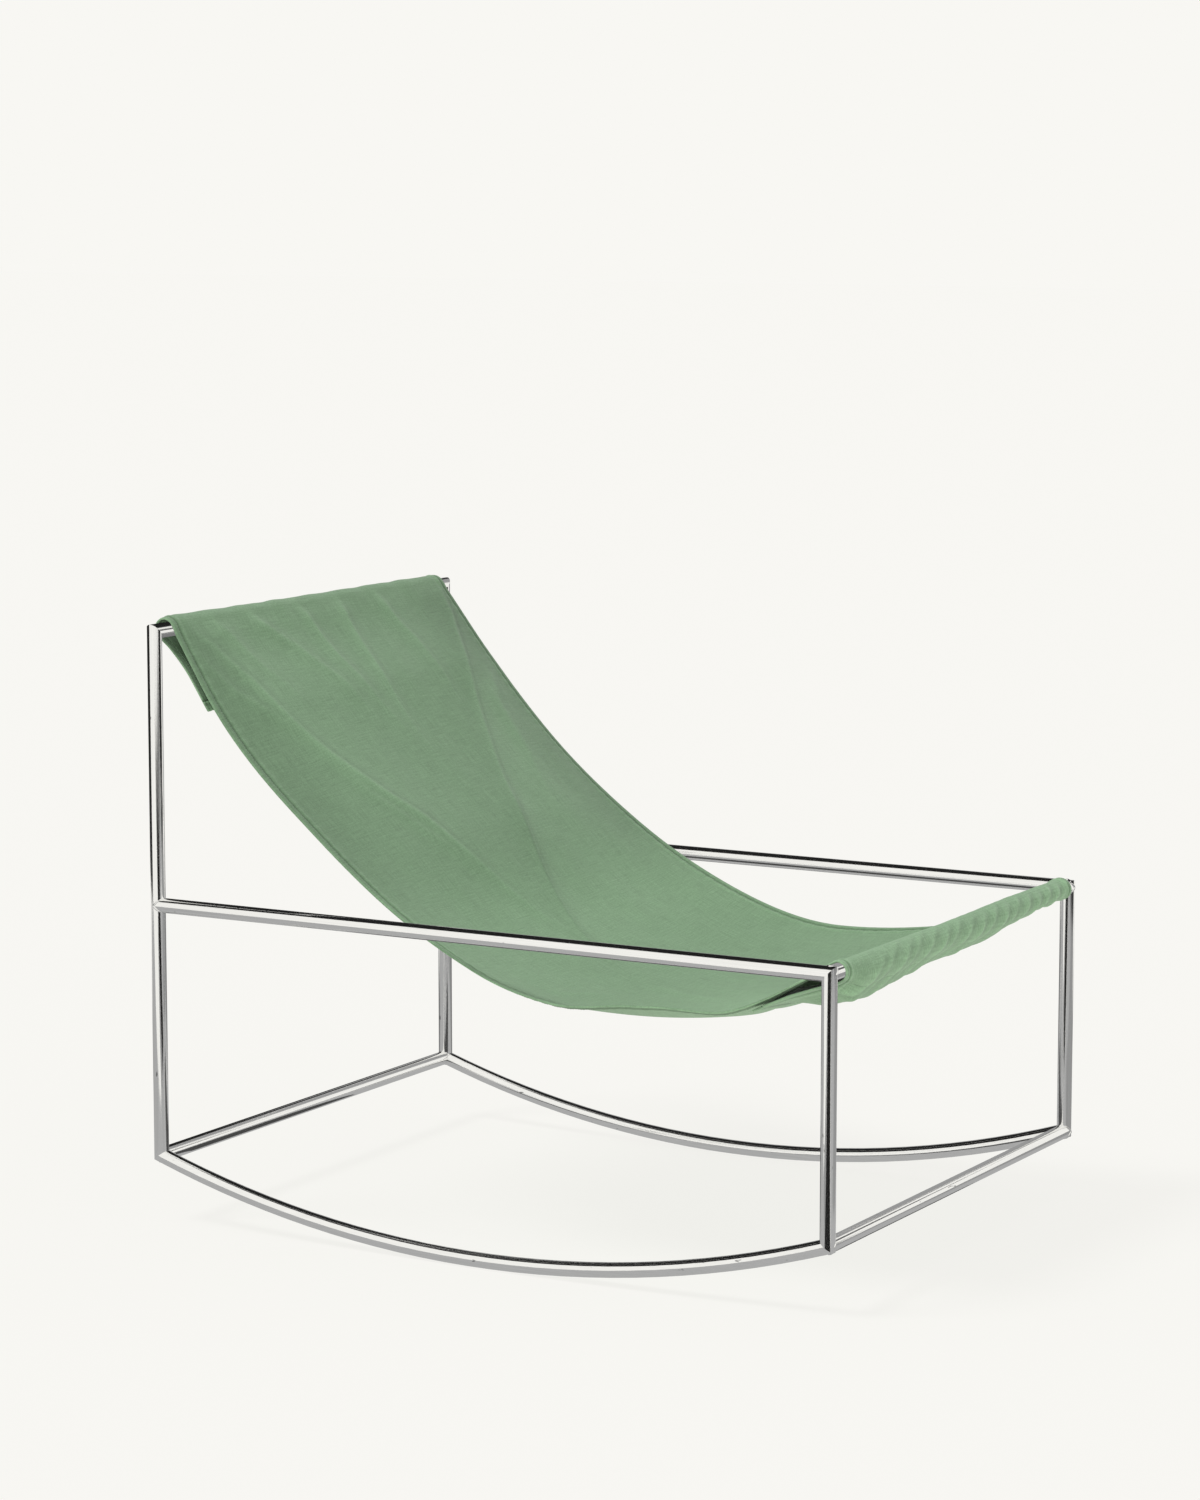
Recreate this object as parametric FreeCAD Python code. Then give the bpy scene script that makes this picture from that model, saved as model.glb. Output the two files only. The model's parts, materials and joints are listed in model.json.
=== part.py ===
"""Outdoor rocking chair: a welded frame of round steel tube on two curved rockers, and a canvas sling
looped over its top and front bars. Millimetres, +Z up. The chair faces -Y, X = 0 is its middle plane,
and the origin is on the floor midway along the rockers."""
import FreeCAD, Part
import math
import os

V = FreeCAD.Vector

# Frame, measured between tube axes or from the floor to a tube axis
tube_diameter = 20.0
tube_wall = 2.0
weld_gap = 0.05
frame_width = 734.0
frame_depth = 1005.0
rocker_rise = 82.0
rail_height = 435.0
top_height = 804.0

# Canvas sling
cloth = 1.2
sling_width = 690.0
bar_clearance = 0.3
layer_gap = 0.1
hem_width = 12.0
hem_setback = 8.0

# The sling's hem line: straight runs off both bars and three points between them, as
# (distance in front of or behind the middle, height, slope in degrees)
rear_run = 130.0
rear_slope = 57.0
back_point = (262.0, 545.0, 40.5)
lap_point = (21.0, 392.0, 24.5)
low_point = (-170.0, 353.0, 0.0)
front_run = 140.0
front_slope = 30.0

# The sling's main folds: how far its middle hangs below the hem line, by how many degrees more it drops
# from the front bar there, and the two ridges in the back
back_sag = 8.0
lap_sag = 22.0
seat_sag = 26.0
front_dip = 9.0
ridge_height = 7.0
ridge_x = 170.0
ridge_spread = 70.0

# Flaps behind the panel, which start at an angle in degrees around each bar, and the hook-and-loop tapes
# that close them
rear_wrap_end = -45.0
front_wrap_end = 252.0
rear_flap_bend = 76.0
front_flap_bend = 86.0
flap_hold = 46.0
tape_width = 30.0
tape_thickness = 2.0
tape_inset = 35.0
tape_start = 2.0

# Values that follow from those above
tube_radius = tube_diameter / 2
bore_radius = tube_radius - tube_wall
cope_radius = tube_radius + weld_gap
side_x = frame_width / 2
post_y = frame_depth / 2
corner_height = tube_radius + rocker_rise
rocker_radius = (post_y ** 2 + rocker_rise ** 2) / (2 * rocker_rise)
rocker_centre_z = tube_radius + rocker_radius
rocker_end_angle = math.degrees(math.asin(post_y / rocker_radius))
half_width = sling_width / 2
wrap_radius = tube_radius + bar_clearance + cloth / 2
hinge_gap = math.degrees((cloth / 2 + bar_clearance) / wrap_radius)
flap_gap = cloth + 2 * (tape_thickness + layer_gap) + bar_clearance
joint_reach = 2 * tube_diameter
top_bar = (post_y, top_height)
front_bar = (-post_y, rail_height)
LEFT, RIGHT = 1, -1
tiny = 1e-9


def rod(start, end, radius):
    """A solid round bar between two points."""
    axis = end.sub(start)
    return Part.makeCylinder(radius, axis.Length, start, axis)


def curved_rod(x, radius):
    """A solid round bar along a rocker's arc, a little longer than the rocker at both ends."""
    sweep = rocker_end_angle + math.degrees(joint_reach / rocker_radius)
    centre = V(x, 0, rocker_centre_z)
    disc = Part.Face(Part.Wire(Part.makeCircle(radius, V(x, 0, tube_radius), V(0, 1, 0))))
    disc.rotate(centre, V(1, 0, 0), -sweep)
    return disc.revolve(centre, V(1, 0, 0), 2 * sweep)


def beyond(point, normal):
    """A block that fills the space past a plane near a joint, used to cut a mitre."""
    size = 4 * joint_reach
    block = Part.makeBox(size, size, size, V(-size / 2, -size / 2, 0))
    block.Placement = FreeCAD.Placement(point, FreeCAD.Rotation(V(0, 0, 1), normal))
    return block


def mitred(bar, corner, own, other):
    """Cuts a bar on the plane halfway between its own direction and the other bar's, both from the corner."""
    return bar.cut(beyond(corner, other.sub(own)))


def stretched(corner, towards):
    """A point a little past a corner, away from the bar that leaves it."""
    return corner.sub(V(towards).multiply(joint_reach / towards.Length))


def corners(side):
    """The four corner points of one side frame, and where its rail meets the back post."""
    x = side * side_x
    return {
        "top": V(x, post_y, top_height),
        "rail": V(x, post_y, rail_height),
        "rear": V(x, post_y, corner_height),
        "knee": V(x, -post_y, rail_height),
        "front": V(x, -post_y, corner_height),
    }


def rocker_end(direction):
    """The direction in which a rocker leaves its rear (1) or front (-1) corner."""
    angle = math.radians(rocker_end_angle)
    return V(0, -direction * math.cos(angle), -math.sin(angle))


def back_post(side, radius):
    at = corners(side)
    bar = rod(stretched(at["rear"], V(0, 0, 1)), stretched(at["top"], V(0, 0, -1)), radius)
    bar = mitred(bar, at["top"], V(0, 0, -1), V(-side, 0, 0))
    return mitred(bar, at["rear"], V(0, 0, 1), rocker_end(1))


def front_post(side, radius):
    at = corners(side)
    bar = rod(stretched(at["front"], V(0, 0, 1)), stretched(at["knee"], V(0, 0, -1)), radius)
    bar = mitred(bar, at["knee"], V(0, 0, -1), V(0, 1, 0))
    return mitred(bar, at["front"], V(0, 0, 1), rocker_end(-1))


def side_rail(side, radius):
    at = corners(side)
    bar = rod(stretched(at["knee"], V(0, 1, 0)), at["rail"], radius)
    bar = mitred(bar, at["knee"], V(0, 1, 0), V(0, 0, -1))
    return bar.cut(back_post(side, cope_radius))


def rocker(side, radius):
    at = corners(side)
    bar = curved_rod(side * side_x, radius)
    bar = mitred(bar, at["rear"], rocker_end(1), V(0, 0, 1))
    return mitred(bar, at["front"], rocker_end(-1), V(0, 0, 1))


def rocker_tip(side, radius, direction):
    """The last stretch of a rocker at its rear (1) or front (-1) corner, which is as good as straight."""
    corner = corners(side)["rear" if direction > 0 else "front"]
    inward = rocker_end(direction)
    bar = rod(stretched(corner, inward), stretched(corner, inward.negative()), radius)
    return mitred(bar, corner, inward, V(0, 0, 1))


def rear_tip(side, radius):
    return rocker_tip(side, radius, 1)


def front_tip(side, radius):
    return rocker_tip(side, radius, -1)


def top_crossbar(radius):
    left = corners(LEFT)["top"]
    right = corners(RIGHT)["top"]
    bar = rod(stretched(left, V(-1, 0, 0)), stretched(right, V(1, 0, 0)), radius)
    bar = mitred(bar, left, V(-1, 0, 0), V(0, 0, -1))
    return mitred(bar, right, V(1, 0, 0), V(0, 0, -1))


def coped_crossbar(corner, neighbours, radius):
    """A bar between the two side frames, its ends shaped to the tubes that it meets there."""
    bar = rod(corners(LEFT)[corner], corners(RIGHT)[corner], radius)
    for side in (LEFT, RIGHT):
        for neighbour in neighbours:
            bar = bar.cut(neighbour(side, cope_radius))
    return bar


def tube(make, *where):
    """A bar with its bore."""
    return make(*where, tube_radius).cut(make(*where, bore_radius))


def frame_parts():
    parts = {}
    for name, side in (("left", LEFT), ("right", RIGHT)):
        parts[name + "_back_post"] = tube(back_post, side)
        parts[name + "_front_post"] = tube(front_post, side)
        parts[name + "_side_rail"] = tube(side_rail, side)
        parts[name + "_rocker"] = tube(rocker, side)
    parts["top_crossbar"] = tube(top_crossbar)
    parts["front_crossbar"] = tube(coped_crossbar, "knee", (front_post, side_rail))
    parts["lower_rear_crossbar"] = tube(coped_crossbar, "rear", (back_post, rear_tip))
    parts["lower_front_crossbar"] = tube(coped_crossbar, "front", (front_post, front_tip))
    return parts


# Cloth sections. A station is a point (y, z) on the cloth's middle surface and the direction in which the
# cloth passes it, from the rear loop over the back and seat to the front loop. The cloth's underside is on
# the left of that direction.


def heading(degrees):
    return (math.cos(math.radians(degrees)), math.sin(math.radians(degrees)))


def moved(point, direction, along, under=0.0):
    """A point moved along a direction and to the left of it."""
    y = point[0] + direction[0] * along - direction[1] * under
    z = point[1] + direction[1] * along + direction[0] * under
    return (y, z)


def around(bar, angle):
    """The station where the cloth passes an angle around a bar, counted from the rear over the top."""
    point = moved(bar, heading(angle), wrap_radius)
    return (point, heading(angle + 90))


def arc_middle(start, direction, end):
    """The middle of the arc that leaves start in a direction and reaches end, and whether it is straight."""
    chord = (end[0] - start[0], end[1] - start[1])
    length = math.hypot(*chord)
    unit = (chord[0] / length, chord[1] / length)
    turn = math.atan2(unit[0] * direction[1] - unit[1] * direction[0],
                      unit[0] * direction[0] + unit[1] * direction[1])
    middle = moved(start, unit, length / 2, length / 2 * math.tan(turn / 2))
    return middle, abs(turn) < math.sqrt(tiny)


def joint_of(start, end):
    """Where the two tangent arcs from one station to the next meet."""
    (p, d), (q, e) = start, end
    v = (q[0] - p[0], q[1] - p[1])
    along = v[0] * (d[0] + e[0]) + v[1] * (d[1] + e[1])
    square = v[0] ** 2 + v[1] ** 2
    spread = 2 * (1 - d[0] * e[0] - d[1] * e[1])
    if spread < tiny:
        reach = square / (2 * along)
    else:
        reach = (math.sqrt(along ** 2 + spread * square) - along) / spread
    return ((p[0] + q[0] + reach * (d[0] - e[0])) / 2, (p[1] + q[1] + reach * (d[1] - e[1])) / 2)


def span_edges(x, start, end):
    """Two tangent arcs, or lines where the cloth is straight, from one station to the next."""
    joint = joint_of(start, end)
    back = (-end[1][0], -end[1][1])
    edges = []
    for tip, direction, foot in ((start[0], start[1], joint), (end[0], back, joint)):
        middle, straight = arc_middle(tip, direction, foot)
        if straight:
            edges.append(Part.makeLine(V(x, *tip), V(x, *foot)))
        else:
            edges.append(Part.Arc(V(x, *tip), V(x, *middle), V(x, *foot)).toShape())
    return edges


def offset(stations, under):
    return [(moved(point, direction, 0, under), direction) for point, direction in stations]


def round_edge(x, station, radius):
    """A rounded end of the cloth, as two quarter turns about the first station."""
    point, direction = station
    tip = moved(point, direction, -radius)
    edges = []
    for side in (radius, -radius):
        half = radius * math.sqrt(0.5)
        middle = moved(point, direction, -half, math.copysign(half, side))
        rim = moved(point, direction, 0, side)
        edges.append(Part.Arc(V(x, *rim), V(x, *middle), V(x, *tip)).toShape())
    return edges


def section(x, stations, upper, lower, rounded=False):
    """A closed outline across the cloth at one X, between two offsets from its middle surface."""
    edges = []
    for under in (upper, lower):
        line = offset(stations, under)
        for start, end in zip(line, line[1:]):
            edges += span_edges(x, start, end)
    first, last = stations[0], stations[-1]
    edges.append(Part.makeLine(V(x, *moved(*last, 0, upper)), V(x, *moved(*last, 0, lower))))
    if rounded:
        edges += round_edge(x, first, (lower - upper) / 2)
    else:
        edges.append(Part.makeLine(V(x, *moved(*first, 0, upper)), V(x, *moved(*first, 0, lower))))
    return Part.Wire(Part.__sortEdges__(edges))


def cloth_solid(xs, stations_at, upper=-cloth / 2, lower=cloth / 2, rounded=False):
    return Part.makeLoft([section(x, stations_at(x), upper, lower, rounded) for x in xs], True, False)


def across(*reaches):
    """The X positions of a piece's sections: its middle, and the given reaches on both sides of it."""
    return [-x for x in reversed(reaches)] + [0.0] + list(reaches)


def crown(x):
    """One in the middle of the sling and nothing at its hems."""
    return 1 - (x / half_width) ** 2


def ridge(x):
    """The height of the fold that runs down the back, highest at ridge_x on both sides."""
    return ridge_height * max(0.0, 1 - abs(abs(x) - ridge_x) / ridge_spread)


def hung(point, below):
    """The station at a point of the hem line, let down to the cloth's underside."""
    y, z, slope = point
    direction = heading(180 + slope)
    return (moved((y, z), direction, 0, below), direction)


def front_angle(x):
    return front_slope + front_dip * crown(x)


def rear_leave():
    """The station where the cloth leaves the top bar."""
    return around(top_bar, 90 + rear_slope)


def front_reach(x):
    """The station where the cloth reaches the front bar."""
    return around(front_bar, 90 - front_angle(x))


def along(station, distance, under=0.0):
    return (moved(*station, distance, under), station[1])


def panel_middle(x):
    """The stations of the panel between its two straight runs."""
    return [
        along(rear_leave(), rear_run),
        hung(back_point, back_sag * crown(x) - ridge(x)),
        hung(lap_point, lap_sag * crown(x)),
        hung(low_point, seat_sag * crown(x)),
        along(front_reach(x), -front_run),
    ]


def panel_stations(x):
    rear_start = rear_wrap_end + hinge_gap
    rear_top = (rear_start + 90 + rear_slope) / 2
    front_start = 90 - front_angle(x)
    front_end = front_wrap_end - hinge_gap
    return (
        [around(top_bar, rear_start), around(top_bar, rear_top), rear_leave()]
        + panel_middle(x)
        + [front_reach(x), around(front_bar, (front_start + front_end) / 2), around(front_bar, front_end)]
    )


def hem_stations(x):
    return [along(rear_leave(), hem_setback)] + panel_middle(x) + [along(front_reach(x), -hem_setback)]


def turned(station):
    """The same point of the cloth, passed the other way."""
    point, direction = station
    return (point, (-direction[0], -direction[1]))


def rear_flap_stations(x):
    """From the hinge line behind the top bar down behind the panel; the panel is on the right."""
    held = along(rear_leave(), rear_flap_bend, flap_gap)
    return [turned(around(top_bar, rear_wrap_end)), held, along(held, flap_hold)]


def front_flap_stations(x):
    """From the hinge line below the front bar back under the panel; the panel is on the left."""
    held = turned(along(front_reach(x), -front_flap_bend, flap_gap))
    return [around(front_bar, front_wrap_end), held, along(held, flap_hold)]


def held_stretch(flap, start, end):
    """The stations of a strip on the straight end of a flap, between two distances from its bend."""
    return lambda x: [along(flap(x)[1], start), along(flap(x)[1], end)]


def sling_parts():
    folds = (ridge_x - ridge_spread, ridge_x, ridge_x + ridge_spread)
    hem_line = half_width - hem_width
    parts = {"sling_panel": cloth_solid(across(*folds, hem_line, half_width), panel_stations)}
    wide = across(half_width / 2, half_width)
    layer = cloth / 2 + layer_gap
    for name, side in (("left", LEFT), ("right", RIGHT)):
        edge = (side * half_width, side * hem_line)
        parts[name + "_side_hem"] = cloth_solid(edge, hem_stations, layer, layer + cloth)
    tape_reach = half_width - tape_inset
    taped = across(tape_reach / 2, tape_reach)
    tape_end = tape_start + tape_width
    for name, flap, inner in (("rear", rear_flap_stations, -1), ("front", front_flap_stations, 1)):
        tape = held_stretch(flap, tape_start, tape_end)
        hem = held_stretch(flap, flap_hold - hem_width, flap_hold)
        hook = (layer, layer + tape_thickness)
        loop = (flap_gap - layer - tape_thickness, flap_gap - layer)
        parts[name + "_flap"] = cloth_solid(wide, flap, rounded=True)
        parts[name + "_flap_hem"] = cloth_solid(wide, hem, inner * layer, inner * (layer + cloth))
        parts[name + "_hook_tape"] = cloth_solid(taped, tape, inner * hook[0], inner * hook[1])
        parts[name + "_loop_tape"] = cloth_solid(taped, tape, inner * loop[0], inner * loop[1])
    return parts


def main():
    os.makedirs("parts", exist_ok=True)
    parts = frame_parts()
    parts.update(sling_parts())
    for name, shape in parts.items():
        solid = shape.Solids[0]
        box = shape.BoundBox
        print(name, "solids", len(shape.Solids), "valid", shape.isValid(), "volume %.0f" % shape.Volume,
              "from (%.1f, %.1f, %.1f)" % (box.XMin, box.YMin, box.ZMin),
              "to (%.1f, %.1f, %.1f)" % (box.XMax, box.YMax, box.ZMax))
        solid.exportStep("parts/" + name + ".step")


main()
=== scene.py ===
"""Looks of an outdoor rocking chair: polished steel tube and a green canvas sling. Metres, +Z up; the chair
faces -Y, its right side is -X and its left side is +X."""
import json
import math
import bpy
import numpy as np
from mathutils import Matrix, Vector

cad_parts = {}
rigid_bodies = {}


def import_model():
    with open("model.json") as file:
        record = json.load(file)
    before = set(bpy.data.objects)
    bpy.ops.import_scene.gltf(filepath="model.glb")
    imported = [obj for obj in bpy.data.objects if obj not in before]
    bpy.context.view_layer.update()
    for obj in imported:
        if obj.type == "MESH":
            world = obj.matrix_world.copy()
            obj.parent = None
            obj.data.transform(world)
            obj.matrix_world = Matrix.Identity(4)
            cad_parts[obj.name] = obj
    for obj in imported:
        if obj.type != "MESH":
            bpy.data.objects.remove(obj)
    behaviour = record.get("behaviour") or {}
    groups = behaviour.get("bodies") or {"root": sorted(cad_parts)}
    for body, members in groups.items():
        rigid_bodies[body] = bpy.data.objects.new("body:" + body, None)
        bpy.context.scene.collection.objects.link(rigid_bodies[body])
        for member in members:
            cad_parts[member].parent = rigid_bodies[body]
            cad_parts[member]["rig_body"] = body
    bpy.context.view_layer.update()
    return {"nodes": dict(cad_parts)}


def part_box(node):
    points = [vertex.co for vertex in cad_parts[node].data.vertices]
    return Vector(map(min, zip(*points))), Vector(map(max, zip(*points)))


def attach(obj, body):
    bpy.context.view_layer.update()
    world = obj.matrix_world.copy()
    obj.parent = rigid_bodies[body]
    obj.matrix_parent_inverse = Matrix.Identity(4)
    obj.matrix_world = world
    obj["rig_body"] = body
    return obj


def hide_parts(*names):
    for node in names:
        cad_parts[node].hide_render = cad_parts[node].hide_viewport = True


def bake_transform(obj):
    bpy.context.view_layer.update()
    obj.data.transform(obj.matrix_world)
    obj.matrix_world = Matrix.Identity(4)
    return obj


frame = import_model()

# Camera, as the photograph was taken
camera_place = (-5.0207, -2.8088, 1.4253)
camera_tilt = 7.823
camera_heading = -60.525
camera_lens = 103.04


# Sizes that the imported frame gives: the bars that carry the sling, their tube, and the sling's and frame's
# half widths
def bar_of(node):
    """The axis (y, z) of a bar across the chair and its radius."""
    low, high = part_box(node)
    return np.array([(low.y + high.y) / 2, (low.z + high.z) / 2]), (high.z - low.z) / 2


top_bar, tube_radius = bar_of("top_crossbar")
front_bar = bar_of("front_crossbar")[0]
half_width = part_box("sling_panel")[1].x
side_x = (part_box("left_side_rail")[0].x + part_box("left_side_rail")[1].x) / 2

# Canvas: thickness, clearance to the bars, folded hems and their seams
cloth = 0.0012
bar_clearance = 0.0003
wrap_radius = tube_radius + bar_clearance + cloth / 2
hem_width = 0.012
fold_radius = 0.00065
seam_inset = 0.0095

# How finely the cloth is divided
row_step = 0.0036
column_step = 0.0023
hem_step = 0.0012
flap_step = 0.0025
tape_step = 0.005
wrap_rows = 40
fold_rows = 5
hinge_crowding = 1.7

# The sling's hem line: straight runs off both bars and four points between them, as (y, z, slope in
# degrees). The left side hangs higher by each tilt, and the right side lower by as much.
rear_wrap_end = -45.0
front_wrap_end = 252.0
rear_run = 0.115
rear_slope = 53.75
rear_slope_tilt = -3.25
back_point = (0.262, 0.5495, 40.5)
lap_point = (0.021, 0.3935, 24.5)
low_point = (-0.170, 0.353, 0.0)
front_low_point = (-0.325, 0.3655, -9.0)
back_tilt = 0.0075
lap_tilt = 0.0085
low_tilt = 0.0025
front_run = 0.090
front_slope = 30.0
front_dip = 9.0

# How far the middle hangs below the hem line, how squarely it does so from hem to hem, and how far the back
# rises between its two long folds and is rounded there
back_sag, back_power = 0.003, 2.0
lap_sag, lap_power = 0.024, 2.6
seat_sag, seat_power = 0.030, 3.4
front_sag, front_power = 0.026, 3.4
back_rise = 0.013
back_round = 0.008

# Slack of the loops over both bars, and how far the front one hangs off the underside of its bar
top_slack = 0.0045
front_slack = 0.003
front_bag = 0.030

# Flaps behind the panel and their hook-and-loop tapes
rear_flap_bend = 0.079
front_flap_bend = 0.086
flap_hold = 0.046
flap_gap = 0.0057
rear_curl = 0.0045
front_curl = 0.0015
tape_inset = 0.035
tape_start, tape_end = 0.002, 0.032
tape_thickness = 0.002
tape_rounding = 0.0005
contact = 0.0001
tape_depth = cloth / 2 + contact + tape_thickness / 2

# Sewing thread, and how far its seams stay from the ends of an edge
stitch_pitch = 0.004
stitch_share = 0.7
stitch_length = 0.0029
stitch_ring = 0.28
stitch_flatness = 0.7
thread_radius = 0.0004
stitch_sides = 6
seam_margin = 0.002
hinge_margin = 0.016

# Weld beads
bead_radius = 0.0013
bead_sink = 0.0012
bead_turns = 72
bead_sides = 10
bead_ripple = 0.10
bead_smoothing = 3

# Colours
CANVAS = (0.225, 0.362, 0.213)
THREAD = (0.25, 0.39, 0.245)
HOOKS = (0.035, 0.060, 0.035)
LOOPS = (0.050, 0.085, 0.050)
PAPER = (0.939, 0.930, 0.896)
paper_glow = 0.87
thread_pitch = 0.0009

# Creases on the flat cloth, as points (x, way past the top bar, height), how far each reaches on its two
# sides (towards -X and +X) and how round its top is
LEFT_FOLD = (
    (0.322, 0.008, 0.0019), (0.305, 0.057, 0.0048), (0.278, 0.097, 0.0058), (0.226, 0.169, 0.0058),
    (0.167, 0.263, 0.0054), (0.103, 0.363, 0.0051), (0.052, 0.467, 0.0045), (0.016, 0.553, 0.0035),
    (-0.045, 0.692, 0.0019), (-0.071, 0.757, 0.0),
)
RIGHT_FOLD = (
    (-0.310, 0.016, 0.0016), (-0.285, 0.044, 0.0035), (-0.254, 0.104, 0.0045), (-0.240, 0.156, 0.0048),
    (-0.209, 0.238, 0.0058), (-0.173, 0.314, 0.0064), (-0.135, 0.375, 0.0061), (-0.110, 0.435, 0.0048),
    (-0.081, 0.498, 0.0032), (-0.040, 0.590, 0.0013), (-0.010, 0.660, 0.0),
)
CREASES = (
    (LEFT_FOLD, 0.030, 0.016, 0.0016),
    (RIGHT_FOLD, 0.016, 0.034, 0.0016),
    # Smaller folds beside the two long ones
    (((-0.324, 0.051, 0.0010), (-0.294, 0.114, 0.0032), (-0.267, 0.148, 0.0029), (-0.246, 0.177, 0.0019),
      (-0.225, 0.210, 0.0)), 0.012, 0.012, 0.002),
    (((-0.212, 0.241, 0.0), (-0.193, 0.318, 0.0016), (-0.164, 0.369, 0.0019), (-0.149, 0.399, 0.0016),
      (-0.122, 0.444, 0.0010), (-0.100, 0.490, 0.0)), 0.008, 0.006, 0.0015),
    (((0.312, 0.160, 0.0016), (0.285, 0.190, 0.0042), (0.260, 0.216, 0.0048), (0.250, 0.263, 0.0045),
      (0.238, 0.310, 0.0038), (0.193, 0.391, 0.0016), (0.160, 0.450, 0.0)), 0.020, 0.020, 0.008),
    # Ripples that run down from the top bar
    (((-0.255, 0.004, 0.0034), (-0.235, 0.040, 0.0040), (-0.200, 0.100, 0.0023), (-0.170, 0.160, 0.0)),
     0.015, 0.015, 0.004),
    (((-0.165, 0.004, 0.0040), (-0.153, 0.022, 0.0058), (-0.109, 0.062, 0.0047), (-0.070, 0.130, 0.0029),
      (-0.045, 0.220, 0.0)), 0.015, 0.015, 0.003),
    (((-0.045, 0.004, 0.0040), (-0.040, 0.018, 0.0052), (-0.035, 0.091, 0.0040), (-0.020, 0.180, 0.0023),
      (0.000, 0.260, 0.0)), 0.015, 0.015, 0.003),
    (((0.056, 0.004, 0.0047), (0.043, 0.061, 0.0052), (0.028, 0.133, 0.0040), (0.015, 0.220, 0.0018),
      (0.010, 0.300, 0.0)), 0.015, 0.015, 0.003),
    (((0.155, 0.004, 0.0040), (0.160, 0.040, 0.0047), (0.171, 0.091, 0.0034), (0.165, 0.170, 0.0018),
      (0.150, 0.240, 0.0)), 0.015, 0.015, 0.003),
    # Faint creases of the seat
    (((-0.260, 0.715, 0.0), (-0.243, 0.727, 0.0014), (-0.198, 0.750, 0.0016), (-0.150, 0.770, 0.0)),
     0.012, 0.012, 0.004),
    (((-0.060, 0.750, 0.0), (-0.068, 0.790, 0.0016), (-0.075, 0.846, 0.0018), (-0.066, 0.910, 0.0)),
     0.014, 0.014, 0.004),
    (((0.055, 0.780, 0.0), (0.058, 0.851, 0.0016), (0.056, 0.920, 0.0)), 0.014, 0.014, 0.005),
    (((-0.080, 0.884, 0.0), (-0.190, 1.008, 0.0019), (-0.280, 1.117, 0.0026), (-0.325, 1.185, 0.0)),
     0.016, 0.022, 0.003),
    (((0.060, 0.870, 0.0), (0.150, 0.990, 0.0018), (0.240, 1.100, 0.0022), (0.300, 1.175, 0.0)),
     0.022, 0.016, 0.003),
)

# Creases around the front bar, in the same form, with the way past the line where the cloth reaches the bar.
# They slant towards the right side, and are short and close together at the left end.
front_crease_count = 17
front_crease_reach = 0.008
front_crease_roundness = 0.0014
FRONT_CREASE_PROFILE = ((0.0, 0.0), (0.3, 1.0), (0.75, 0.85), (1.0, 0.0))


def mixed(first, last, share):
    return first + (last - first) * share


def front_crease(number):
    share = number / (front_crease_count - 1)
    uneven = 0.618 * number % 1
    start_x = mixed(0.345, -0.215, share**1.1) - 0.012 * uneven
    start = mixed(0.004, 0.016, uneven)
    length = mixed(0.030, 0.064, share)
    slant = mixed(1.3, 2.5, share)
    height = mixed(0.0026, 0.0046, uneven)
    points = [(start_x - part * slant * length, start + part * length, top * height)
              for part, top in FRONT_CREASE_PROFILE]
    return points, front_crease_reach, front_crease_reach, front_crease_roundness


FRONT_CREASES = [front_crease(number) for number in range(front_crease_count)]

# Small helpers for points and stations in the plane (y, z); a station is a point and a direction


def heading(degrees):
    return np.array([math.cos(math.radians(degrees)), math.sin(math.radians(degrees))])


def left_of(direction):
    return np.array([-direction[1], direction[0]])


def unit(vectors):
    return vectors / np.linalg.norm(vectors, axis=-1, keepdims=True)


def around(bar, angle):
    """The station where the cloth passes an angle around a bar, counted from the rear over the top."""
    return bar + wrap_radius * heading(angle), heading(angle + 90)


def along(station, distance):
    point, direction = station
    return point + distance * direction, direction


def span(start, end, count, crowding=1.0):
    """Points of the smooth line from one station to the next, without its last point, closer together at its
    start by the crowding."""
    (p, d), (q, e) = start, end
    t = (np.arange(count)[:, None] / count) ** crowding
    chord = np.linalg.norm(q - p)
    from_start = (2 * t**3 - 3 * t**2 + 1) * p + (t**3 - 2 * t**2 + t) * chord * d
    return from_start + (3 * t**2 - 2 * t**3) * q + (t**3 - t**2) * chord * e


# Small helpers for shares between 0 and 1 and for places across the cloth


def smooth(value, low, high):
    """0 up to one value, 1 from another on, and an even rise between them."""
    t = np.clip((value - low) / (high - low), 0, 1)
    return t * t * (3 - 2 * t)


def fading(value, last, end):
    """1 up to one value, 0 from another on, and an even fall between them."""
    return 1 - smooth(value, last, end)


def window(value, start, full, last, end):
    """0 up to the start, 1 from full to last, and 0 again from the end on."""
    return smooth(value, start, full) * fading(value, last, end)


def bell(value, middle, reach):
    """1 at the middle and a soft fall on both sides."""
    return np.exp(-((value - middle) / reach) ** 2)


def wave(phase):
    """A soft ripple between 0 and 1."""
    return 0.5 + 0.5 * np.sin(2 * math.pi * phase)


def share_of(x):
    """-1 at the right hem, 0 in the middle and 1 at the left hem."""
    return x / half_width


def crown(x, power=2.0):
    """1 in the middle and 0 at both hems."""
    return 1 - abs(share_of(x)) ** power


def from_hem(x):
    """The way to the nearer side edge of the cloth."""
    return half_width - np.abs(x)


# The sling's lines at one x


def rear_leave_angle(x):
    return 90 + rear_slope + rear_slope_tilt * share_of(x)


def front_reach_angle(x):
    return 90 - front_slope - front_dip * crown(x)


def hung(point, x, tilt, sag, power):
    y, z, slope = point
    direction = heading(180 + slope)
    place = np.array([y, z + tilt * share_of(x)])
    return place + sag * crown(x, power) * left_of(direction), direction


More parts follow.
